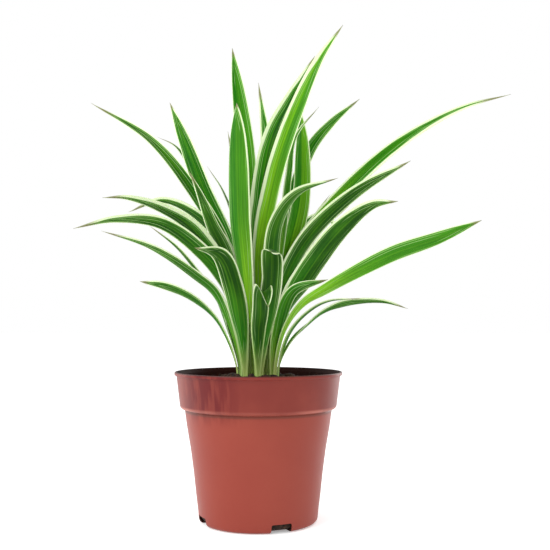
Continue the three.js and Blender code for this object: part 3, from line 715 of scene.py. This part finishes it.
# name, crown, ring, angle round the crown, width, turns at mid length and at the tip, share of the
# length at which the blade is full width, taper, slope of the halves near the tip; for the right and
# the left half of the upper face its colour, from dark green 0 to yellow-green 1, which also holds
# painted light and shade: one half of a folded blade lit and the other shaded, and leaves lying in
# shade set darker; and the width of its cream margin; and the midrib above the clump
LEAVES = [
    ("left_high", "left", 3, 158, 0.011, (45, 60), 0.45, 2.2, 0.3, (0.15, 0.1), (0.0006, 0.0005),
     [(-0.024, 0.011, 0.1895), (-0.051, 0.019, 0.238), (-0.0825, 0.027, 0.276), (-0.129, 0.036, 0.306)]),
    ("left_upright", "left", 2, 105, 0.015, (45, 40), 0.45, 4.5, 0.3, (0.25, 0.3), (0.0012, 0.0005),
     [(-0.021, 0.022, 0.192), (-0.042, 0.034, 0.239), (-0.056, 0.044, 0.275), (-0.071, 0.054, 0.311)]),
    ("left_dark", "left", 2, -165, 0.013, (-60, -60), 0.45, 2.6, 0.3, (-0.5, -0.4), (0.0008, 0.0004),
     [(-0.023, -0.007, 0.184), (-0.0335, -0.009, 0.208), (-0.041, -0.012, 0.2275),
      (-0.0485, -0.014, 0.2445)]),
    ("left_hidden", "left", 0, 110, 0.009, (0, 0), 0.45, 2.6, 0.3, (0.3, 0.3), (0.0006, 0.0006),
     [(-0.011, 0.009, 0.198), (-0.017, 0.012, 0.243), (-0.023, 0.014, 0.279)]),
    ("front_left_arch", "left", 6, -105, 0.015, (-30, -30), 0.45, 2.8, 0.3, (0, -0.1), (0.0004, 0.001),
     [(-0.016, -0.036, 0.162), (-0.023, -0.062, 0.181), (-0.037, -0.092, 0.184)]),
    ("left_arch_upper", "left", 3, -150, 0.013, (-45, -45), 0.45, 2.2, 0.3, (0, 0.2), (0.0006, 0.0021),
     [(-0.024, -0.011, 0.171), (-0.0455, -0.02, 0.204), (-0.067, -0.027, 0.217),
      (-0.0885, -0.033, 0.223), (-0.1045, -0.037, 0.2225)]),
    ("left_arch_back", "left", 1, 170, 0.011, (-65, -65), 0.45, 2.4, 0.3, (0.1, 0.2), (0.0007, 0.0018),
     [(-0.023, 0.001, 0.19), (-0.047, 0.004, 0.217), (-0.071, 0.007, 0.227), (-0.095, 0.011, 0.219)]),
    ("left_arch_long", "left", 4, -135, 0.012, (-45, -45), 0.45, 2.2, 0.3, (0.1, 0.15), (0.0005, 0.0012),
     [(-0.022, -0.017, 0.165), (-0.042, -0.029, 0.19), (-0.065, -0.039, 0.205),
      (-0.093, -0.051, 0.206), (-0.118, -0.061, 0.199)]),
    ("left_arch_low", "left", 5, -141, 0.01, (-20, -20), 0.45, 2.2, 0.3, (0.1, 0.15), (0.0005, 0.0008),
     [(-0.03, -0.018, 0.158), (-0.043, -0.026, 0.17), (-0.07, -0.042, 0.188), (-0.101, -0.056, 0.198)]),
    ("left_edge_on", "left", 5, 165, 0.008, (-40, -40), 0.45, 2.4, 0.3, (0, 0), (0.0005, 0.0005),
     [(-0.032, 0.004, 0.158), (-0.042, 0.006, 0.171), (-0.06, 0.008, 0.193), (-0.08, 0.01, 0.209)]),
    ("left_lowest", "left", 6, -168, 0.01, (-35, -75), 0.7, 4, 0.3, (0.2, 0.2), (0.0006, 0.0007),
     [(-0.0325, -0.008, 0.143), (-0.0475, -0.012, 0.1555), (-0.065, -0.015, 0.1635),
      (-0.082, -0.017, 0.167)]),
    ("middle_front", "middle", 1, -135, 0.018, (-10, -20), 0.6, 6, 0.3, (0.38, 0.62), (0.00035, 0.001),
     [(-0.0088, -0.013, 0.161), (-0.0138, -0.02, 0.2085), (-0.0146, -0.026, 0.257),
      (-0.0145, -0.03, 0.289)]),
    ("middle_tall_back", "middle", 1, 100, 0.0145, (15, 15), 0.45, 3.2, 0.3, (0.15, 0.35), (0.0006, 0.0023),
     [(-0.001, 0.003, 0.204), (0.005, 0.005, 0.256), (0.011, 0.008, 0.279),
      (0.0225, 0.011, 0.302), (0.0415, 0.018, 0.337)]),
    ("middle_tallest", "middle", 0, 80, 0.014, (0, 0), 0.45, 3.4, 0.3, (0.62, 0.78), (0.0008, 0.0022),
     [(0.002, -0.007, 0.193), (0.014, -0.008, 0.252), (0.03, -0.005, 0.2975),
      (0.0435, -0.002, 0.3275), (0.061, 0, 0.354)]),
    ("front_right_arch", "middle", 1, -25, 0.014, (35, 35), 0.45, 2.6, 0.3, (0.05, 0.1), (0.0011, 0.0004),
     [(0.009, -0.012, 0.168), (0.013, -0.023, 0.206), (0.026, -0.036, 0.225), (0.053, -0.054, 0.233)]),
    ("front_fold_high", "middle", 4, -65, 0.016, (0, 60), 0.45, 4.5, -0.3, (-0.1, -0.05), (0.0008, 0.0009),
     [(0.0085, -0.029, 0.1605), (0.0095, -0.038, 0.177), (0.0095, -0.052, 0.1855), (0.009, -0.08, 0.1825)]),
    ("front_fold_low", "middle", 6, -87, 0.015, (0, 0), 0.55, 5, 0.75, (-0.3, -0.3), (0.0008, 0.0007),
     [(0.002, -0.034, 0.145), (0.0023, -0.041, 0.1545), (0.0035, -0.05, 0.1585),
      (0.0055, -0.063, 0.156), (0.0075, -0.078, 0.148)]),
    ("right_edge_on", "right", 0, 45, 0.009, (0, 0), 0.45, 3, 0.3, (0.5, 0.6), (0.001, 0.0013),
     [(0.0175, 0.005, 0.198), (0.0225, 0.012, 0.2465), (0.027, 0.017, 0.275), (0.0445, 0.022, 0.2995)]),
    ("right_long", "right", 3, 49, 0.013, (-40, -40), 0.45, 1.8, 0.3, (0.44, 0.56), (0.0022, 0.0013),
     [(0.0225, 0.0187, 0.181), (0.065, 0.031, 0.237), (0.108, 0.038, 0.276),
      (0.1555, 0.042, 0.3035), (0.194, 0.042, 0.3145)]),
    ("right_arch_upper", "right", 1, -10, 0.013, (60, 60), 0.45, 3.2, 0.3, (-0.05, 0.1), (0.0012, 0.0007),
     [(0.019, -0.004, 0.1685), (0.036, -0.006, 0.1995), (0.068, -0.01, 0.2295), (0.107, -0.014, 0.252)]),
    ("right_dark", "right", 4, 23, 0.008, (-50, -50), 0.45, 2.8, 0.3, (-0.1, 0), (0.0024, 0.0009),
     [(0.0295, 0.0052, 0.184), (0.046, 0.013, 0.207), (0.066, 0.017, 0.224)]),
    ("right_arch_lower", "right", 3, -22, 0.0175, (60, 60), 0.45, 2.8, 0.3, (0.1, -0.05), (0.0013, 0.0004),
     [(0.0225, -0.0085, 0.152), (0.04, -0.0155, 0.1815), (0.059, -0.0225, 0.2045),
      (0.078, -0.029, 0.2185), (0.095, -0.034, 0.2205)]),
    ("right_low_long", "right", 6, -50, 0.012, (50, 50), 0.8, 5, 0.3, (0.6, 0.6), (0.0005, 0.00035),
     [(0.03, -0.027, 0.1505), (0.046, -0.038, 0.161), (0.087, -0.052, 0.1825),
      (0.116, -0.061, 0.1925), (0.143, -0.068, 0.2035)]),
    ("right_short", "right", 4, -54, 0.01, (60, 60), 0.45, 2.8, 0.3, (0.35, 0.25), (0.0005, 0.0003),
     [(0.024, -0.02, 0.16), (0.048, -0.026, 0.168)]),
    ("right_low_thin", "right", 6, -20, 0.008, (10, 10), 0.45, 2.4, 0.3, (0.15, 0.15), (0.0009, 0.0006),
     [(0.036, -0.013, 0.146), (0.049, -0.017, 0.153), (0.072, -0.022, 0.155)]),
    ("right_lowest", "right", 6, 20, 0.01, (45, 45), 0.65, 2.6, 0.3, (0.15, 0.1), (0.001, 0.0004),
     [(0.0355, 0.01, 0.1365), (0.0465, 0.012, 0.145), (0.0625, 0.014, 0.1515),
      (0.0905, 0.016, 0.1535), (0.109, 0.016, 0.1485)]),
    ("back_far_left", "back_left", 3, 140, 0.01, (10, 10), 0.45, 2.4, 0.3, (0.1, 0.15), (0.0005, 0.0007),
     [(-0.0245, 0.035, 0.204), (-0.0505, 0.058, 0.252), (-0.0685, 0.074, 0.28), (-0.085, 0.084, 0.2905)]),
    ("back_narrow_left", "back_left", 2, 115, 0.009, (-40, -40), 0.45, 2.4, 0.3, (0, 0), (0.0004, 0.0006),
     [(-0.018, 0.035, 0.207), (-0.029, 0.054, 0.24), (-0.043, 0.072, 0.264)]),
    ("back_tallest", "back_left", 0, 95, 0.015, (0, 0), 0.45, 4.5, 0.3, (0.6, 0.4), (0.0005, 0.00035),
     [(-0.007, 0.025, 0.2075), (-0.01, 0.031, 0.261), (-0.015, 0.037, 0.305), (-0.0215, 0.043, 0.351)]),
    ("back_left", "back_left", 4, 110, 0.01, (0, 0), 0.45, 2.8, 0.3, (0.3, 0.45), (0.0011, 0.0006),
     [(-0.019, 0.046, 0.186), (-0.032, 0.064, 0.206), (-0.043, 0.084, 0.214), (-0.051, 0.106, 0.204)]),
    ("back_low", "back_left", 6, 95, 0.012, (0, 0), 0.45, 2.8, 0.3, (0.4, 0.5), (0.0009, 0.0009),
     [(-0.007, 0.05, 0.171), (-0.012, 0.09, 0.188), (-0.019, 0.135, 0.158)]),
    ("back_low_left", "back_left", 5, 125, 0.01, (0, 0), 0.45, 2.8, 0.3, (0.2, 0.3), (0.0013, 0.0006),
     [(-0.02, 0.038, 0.166), (-0.026, 0.064, 0.182), (-0.029, 0.092, 0.172)]),
    ("back_high_left", "back_left", 3, 80, 0.012, (0, 0), 0.45, 3, 0.3, (0.4, 0.6), (0.0008, 0.0005),
     [(-0.011, 0.046, 0.217), (-0.014, 0.07, 0.261), (-0.019, 0.096, 0.291)]),
    ("back_far_tip", "back_right", 0, 90, 0.011, (0, 0), 0.45, 2.8, 0.3, (0.35, 0.4), (0.0007, 0.0012),
     [(0.004, 0.018, 0.214), (0.005, 0.028, 0.268), (-0.001, 0.04, 0.323)]),
    ("back_broad", "back_right", 2, 50, 0.016, (-65, -65), 0.6, 5, 0.3, (0.75, 0.5), (0.0007, 0.0005),
     [(0.019, 0.02, 0.181), (0.03, 0.028, 0.2275), (0.032, 0.036, 0.27), (0.0315, 0.044, 0.3035)]),
    ("back_far_right", "back_right", 3, 73, 0.012, (-45, -45), 0.45, 3.6, 0.3, (0.3, 0.35), (0.0006, 0.0007),
     [(0.017, 0.045, 0.202), (0.038, 0.062, 0.2735), (0.0565, 0.07, 0.2985), (0.081, 0.08, 0.321)]),
    ("back_right_tip", "back_right", 4, 20, 0.01, (15, 15), 0.45, 2.6, 0.3, (0.15, 0.25), (0.0008, 0.0011),
     [(0.029, 0.024, 0.184), (0.042, 0.036, 0.219), (0.055, 0.046, 0.238)]),
    ("back_straight", "back_right", 5, 92, 0.013, (0, 0), 0.45, 2.8, 0.3, (0.3, 0.4), (0.0006, 0.0012),
     [(0.006, 0.058, 0.211), (0.006, 0.086, 0.238), (0.005, 0.124, 0.232)]),
    ("back_right", "back_right", 5, 55, 0.012, (0, 0), 0.45, 2.8, 0.3, (0.5, 0.4), (0.0024, 0.002),
     [(0.024, 0.05, 0.196), (0.049, 0.08, 0.226), (0.068, 0.112, 0.212)]),
    ("back_low_right", "back_right", 6, 75, 0.011, (0, 0), 0.45, 2.8, 0.3, (0.35, 0.3), (0.0005, 0.0013),
     [(0.017, 0.048, 0.176), (0.034, 0.08, 0.2), (0.05, 0.112, 0.188)]),
    ("back_high_right", "back_right", 4, 97, 0.012, (0, 0), 0.45, 3, 0.3, (0.45, 0.5), (0.0011, 0.0007),
     [(0.004, 0.047, 0.217), (0.016, 0.071, 0.265), (0.022, 0.095, 0.283)]),
]
CURVE_STEPS = 24
BASE_HALF_WIDTH = 0.0016
TIP_HALF_WIDTH = 0.00012
BLADE_THICKNESS = 0.0005
BLADE_ROWS = 97
BLADE_COLUMNS = 13
TURN_FROM, TURN_BY = 0.038, 0.080  # metres along the blade between which it turns
TAPER_FROM = 0.40
SWELL_POWER = 1.8
LOW_FOLD = 0.5  # slope in radians of each half of the blade, low on the leaf
LOW_FOLD_AT, TIP_FOLD_AT = 0.25, 0.60  # shares of the length
CHANNEL_POWER = 1.35
RIPPLES = 28.0  # to the metre
RIPPLE_HEIGHT = 0.22  # of half the width
RIPPLE_FROM, RIPPLE_BY = 0.15, 0.40  # shares of the length between which the ripple sets in
THIN_BELOW, THIN_ABOVE = 0.02, 0.93  # shares of the length past which the blade thins out
MERGE_DISTANCE = 1e-6
GROWTH_SEED = 11
MOST_GROWTH = 10  # far enough apart for each blade to have stripes and ripples of its own


def midrib(corners):
    """A line of edges along the centripetal Catmull-Rom curve through the corners."""
    corners = [Vector(corner) for corner in corners]
    corners = [2 * corners[0] - corners[1], *corners, 2 * corners[-1] - corners[-2]]
    points = []
    for before, first, last, after in zip(corners, corners[1:], corners[2:], corners[3:]):
        d0, d1, d2 = ((b - a).length ** 0.5 for a, b in ((before, first), (first, last), (last, after)))
        start_slope = ((first - before) / d0 - (last - before) / (d0 + d1) + (last - first) / d1) * d1
        end_slope = ((last - first) / d1 - (after - first) / (d1 + d2) + (after - last) / d2) * d1
        for k in range(CURVE_STEPS):
            u = k / CURVE_STEPS
            leaving = first * (2 * u**3 - 3 * u**2 + 1) + start_slope * (u**3 - 2 * u**2 + u)
            points.append(leaving + last * (3 * u**2 - 2 * u**3) + end_slope * (u**3 - u**2))
    points.append(corners[-2])
    line = bpy.data.meshes.new("midrib")
    line.from_pydata(points, [(i, i + 1) for i in range(len(points) - 1)], [])
    return line


def clump_points(crown, ring, at, first_level):
    """The three points through which a leaf leaves its ring of the crown."""
    x, y = CROWNS[crown]
    radius = FIRST_RING + RING_PITCH * ring
    angle = math.radians(at)
    spread_level = min(SPREAD_LEVEL, first_level - SPREAD_BELOW)
    levels = [(1, ROOT_LEVEL), (NECK_SPREAD, NECK_LEVEL), (LEAF_SPREAD, spread_level)]
    return [(x + radius * f * math.cos(angle), y + radius * f * math.sin(angle), z) for f, z in levels]


def spread(value, low, high, first=0.0, last=1.0):
    """A straight-line graph from first at low to last at high, level outside them."""
    inputs = {"Value": value, "From Min": low, "From Max": high, "To Min": first, "To Max": last}
    return value.node("ShaderNodeMapRange", {}, inputs)


def store(geometry, name, value):
    """Keeps a number on every point of a geometry, for the material to read."""
    inputs = {"Geometry": geometry, "Name": name, "Value": value}
    return geometry.node("GeometryNodeStoreNamedAttribute", {}, inputs)


blade_tree, size = new_tree(
    "leaf blade",
    {
        "Width": 0.012,
        "Swell": 0.45,
        "Taper": 2.6,
        "Turn": 0.0,
        "Tip Turn": 0.0,
        "Base Fold": 0.5,
        "Tip Fold": 0.3,
        "Right Tone": 0.5,
        "Left Tone": 0.5,
        "Right Cream": 0.001,
        "Left Cream": 0.001,
        "Growth": 0.0,
    },
)
rib = size["Geometry"].node("GeometryNodeMeshToCurve", {}, {"Mesh": size["Geometry"]})
length = rib.node("GeometryNodeCurveLength", {}, {"Curve": rib})
sheet = rib.node(
    "GeometryNodeMeshGrid",
    {},
    {"Size X": 2.0, "Size Y": 1.0, "Vertices X": BLADE_COLUMNS, "Vertices Y": BLADE_ROWS},
)
flat = sheet.node("GeometryNodeInputPosition", {}, {})
column = flat.node("ShaderNodeSeparateXYZ", {}, {0: flat}, "X")
across = column.maths("SINE", column * (math.pi / 2))  # the columns stand closer at the margins
along = column.beside("Y") + 0.5
reach = along * length
to_margin = abs(across)

swelling = along.maths("MINIMUM", along / size["Swell"], 1.0)
swell = along.maths("SINE", swelling * (math.pi / 2)) ** SWELL_POWER
full = BASE_HALF_WIDTH + swell * (size["Width"] / 2 - BASE_HALF_WIDTH)
narrowing = spread(along, TAPER_FROM, 1.0) ** size["Taper"]
half = full.maths("MAXIMUM", full * (1 - narrowing), TIP_HALF_WIDTH)
turn = spread(reach, TURN_FROM, TURN_BY, 0.0, size["Turn"])
turn = turn + spread(reach, TURN_BY, length, 0.0, size["Tip Turn"] - size["Turn"])
fold = spread(along, 0.0, LOW_FOLD_AT, size["Base Fold"], LOW_FOLD)
fold = fold + spread(along, LOW_FOLD_AT, TIP_FOLD_AT, 0.0, size["Tip Fold"] - LOW_FOLD)

on_rib = {"Curves": rib, "Factor": along}
centre = along.node("GeometryNodeSampleCurve", {"mode": "FACTOR"}, on_rib, "Position")
tangent = centre.beside("Tangent")
level = scaled(centre.beside("Normal"), -1.0)
side = level.node(
    "ShaderNodeVectorRotate",
    {"rotation_type": "AXIS_ANGLE"},
    {"Vector": level, "Axis": tangent, "Angle": 0 - turn},
)
back = side.vectors("CROSS_PRODUCT", side, tangent)
ripple_place = {"X": across * 0.6, "Y": reach * RIPPLES, "Z": size["Growth"]}
ripple = grain(along.node("ShaderNodeCombineXYZ", {}, ripple_place), 1.0, 1.0) - 0.5
wave = ripple * to_margin * spread(along, RIPPLE_FROM, RIPPLE_BY) * half * RIPPLE_HEIGHT
channel = to_margin**CHANNEL_POWER * half * fold.maths("SINE", fold)
outwards = scaled(side, across * half * fold.maths("COSINE", fold))
middle = centre.vectors("ADD", centre.vectors("ADD", centre, outwards), scaled(back, wave - channel))
lens = to_margin.maths("SQRT", to_margin.maths("MAXIMUM", 1 - across * across, 0.0))
ends = spread(along, 0.0, THIN_BELOW) * (1 - spread(along, THIN_ABOVE, 1.0))
thickness = lens * ends * (BLADE_THICKNESS / 2)

kept = {
    "across": across,
    "reach": reach,
    "half": half,
    "remain": length - reach,
    "right_tone": size["Right Tone"],
    "left_tone": size["Left Tone"],
    "right_cream": size["Right Cream"],
    "left_cream": size["Left Cream"],
    "growth": size["Growth"],
}
for name, value in kept.items():
    sheet = store(sheet, name, value)
faces = []
for underside in (0.0, 1.0):
    shift = scaled(back, thickness * (2 * underside - 1))
    position = middle.vectors("ADD", middle, shift)
    one = store(sheet, "underside", underside)
    one = one.node("GeometryNodeSetPosition", {}, {"Geometry": one, "Position": position})
    if not underside:
        one = one.node("GeometryNodeFlipFaces", {}, {"Mesh": one})
    faces.append(one)
blade = sheet.node("GeometryNodeJoinGeometry", {}, {"Geometry": faces})
blade = blade.node("GeometryNodeMergeByDistance", {}, {"Geometry": blade, "Distance": MERGE_DISTANCE})
blade = blade.node("GeometryNodeSetShadeSmooth", {}, {"Geometry": blade})

leaf_green, start = new_material("variegated_leaf")
DARK_GREEN = tint(14, 66, 4)
MID_GREEN = tint(38, 120, 12)
LIME_GREEN = tint(140, 202, 34)
STRIPE_GREEN = tint(106, 168, 34)
SHADE_GREEN = tint(6, 48, 3)
PATCH_GREEN = tint(84, 156, 14)
RIB_GREEN = tint(112, 172, 34)
EDGE_GREEN = tint(126, 180, 70)
LINE_GREEN = tint(168, 208, 130)
GREENISH_CREAM = tint(204, 224, 166)
CREAM = tint(230, 238, 210)
LOW_CREAM = tint(160, 200, 96)
SHEATH_CREAM = tint(184, 196, 112)
DULL_GREEN = tint(84, 118, 60)
DRY_BROWN = tint(112, 102, 72)
# How much yellower and lighter a leaf is towards its foot. This is partly its younger tissue and partly
# painted light over the shade that the clump casts on its lower blades.
FOOT_LIGHTENING = 0.60  # how much yellower a leaf is at its foot
MOST_CREAM = 0.75  # of half the width
PALE_LINES = (0.0009, 0.0022)  # how far in from the cream margin
LINE_CORE, LINE_EDGE = 0.0001, 0.00035
EDGE_WIDTH = 0.0011
MIDRIB_HALF_WIDTH = 0.05  # of half the blade's, where the tones of the two halves meet


def kept_value(name):
    """A number that the blade's tree kept on the leaf."""
    return start.node("ShaderNodeAttribute", {"attribute_name": name}, {}, "Fac")


across = kept_value("across")
reach = kept_value("reach")
half = kept_value("half")
remain = kept_value("remain")
share = reach / (reach + remain)
growth = kept_value("growth")
underside = kept_value("underside")
to_margin = abs(across)
from_margin = (1 - to_margin) * half
lateral = across * half
left_half = rise(across, -MIDRIB_HALF_WIDTH, MIDRIB_HALF_WIDTH)
# Each half of the blade takes its own colour. The difference between the halves is painted light and shade
# across the fold, and low values paint the shade on leaves that lie under others.
tone_and_shade = kept_value("right_tone") * (1 - left_half) + kept_value("left_tone") * left_half
cream = kept_value("right_cream") * (1 - left_half) + kept_value("left_cream") * left_half


def striped(across_scale, along_scale):
    """Noise drawn out along the blade: so many stripes to the metre across it and along it."""
    place = {"X": lateral * across_scale, "Y": reach * along_scale, "Z": growth * 7.0}
    return grain(start.node("ShaderNodeCombineXYZ", {}, place), 1.0, 2.0)


stripes = striped(900.0, 8.0)
fine_stripes = striped(2600.0, 14.0)
patches = striped(130.0, 30.0)
# Painted light and younger tissue: the lower part of each blade is made lighter and yellower.
tone_and_shade = tone_and_shade + (1 - rise(share, 0.12, 0.70)) * FOOT_LIGHTENING
wide_at_foot = 1 + reach.maths("EXPONENT", reach * -25.0)
cream = cream * wide_at_foot * (0.45 + striped(60.0, 26.0) * 1.1)
cream = cream.maths("MINIMUM", cream, half * MOST_CREAM)
marks = [
    (rise(tone_and_shade, 0.5, 1.1), 1.0, LIME_GREEN),
    (rise(stripes, 0.50, 0.78), 0.34, STRIPE_GREEN),
    (rise(fine_stripes, 0.62, 0.38), 0.40, SHADE_GREEN),
    (rise(patches, 0.42, 0.75), 0.22, PATCH_GREEN),
    (1 - rise(to_margin, 0.0, 0.09), 0.22, RIB_GREEN),
    (1 - rise(from_margin, cream, cream + EDGE_WIDTH), 0.35, EDGE_GREEN),
]
for step_in in PALE_LINES:
    line = 1 - rise(abs(from_margin - cream - step_in), LINE_CORE, LINE_EDGE)
    marks.append((line * rise(striped(500.0, 12.0), 0.40, 0.58), 0.45, LINE_GREEN))
green = marked(blended(rise(tone_and_shade, 0.0, 0.5), DARK_GREEN, MID_GREEN), marks)
pale = blended(stripes, GREENISH_CREAM, CREAM)
pale = blended((1 - rise(reach, 0.020, 0.075)) * 0.75, pale, LOW_CREAM)
creamy = 1 - rise(from_margin, cream * 0.8, cream * 1.1 + 0.0001)
sheath = 0.25 + rise(grain(growth, 5.0, 0.0), 0.38, 0.62) * 0.60
dry = rise(share, 0.82, 0.96) * (1 - rise(half, 0.0008, 0.0020))
colour = marked(
    blended(creamy, green, pale),
    [
        (1 - rise(reach, 0.006, 0.032), sheath, SHEATH_CREAM),
        (underside, 0.12, DULL_GREEN),
        (dry, 0.80, DRY_BROWN),
    ],
)
veins = across.maths("SINE", across * (math.pi * 11)) * 0.5 + fine_stripes
finish_material(
    start,
    {
        "Base Color": colour,
        "Roughness": 0.36 + stripes * 0.14 + underside * 0.12 + dry * 0.3,
        "Specular IOR Level": 0.05,
        "Subsurface Weight": 0.08,
        "Subsurface Radius": (0.5, 1.0, 0.2),
        "Subsurface Scale": 0.001,
        "Normal": bumped(veins * (1 - creamy * 0.4), 0.35, 0.00012),
    },
)
end_tree(blade, leaf_green)

growth_chance = random.Random(GROWTH_SEED)
for name, crown, ring, at, width, turns, swell_by, taper, tip_fold, tones_and_shades, creams, path in LEAVES:
    leaf = grown(
        "leaf_blade_" + name,
        midrib([*clump_points(crown, ring, at, path[0][2]), *path]),
        blade_tree,
        {
            "Width": width,
            "Swell": swell_by,
            "Taper": float(taper),
            "Turn": math.radians(turns[0]),
            "Tip Turn": math.radians(turns[1]),
            "Base Fold": BASE_HALF_WIDTH / (FIRST_RING + RING_PITCH * ring) / 2,
            "Tip Fold": tip_fold,
            "Right Tone": float(tones_and_shades[0]),
            "Left Tone": float(tones_and_shades[1]),
            "Right Cream": creams[0],
            "Left Cream": creams[1],
            "Growth": growth_chance.uniform(0, MOST_GROWTH),
        },
    )
    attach(leaf, "root")
    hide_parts("leaf_" + name)
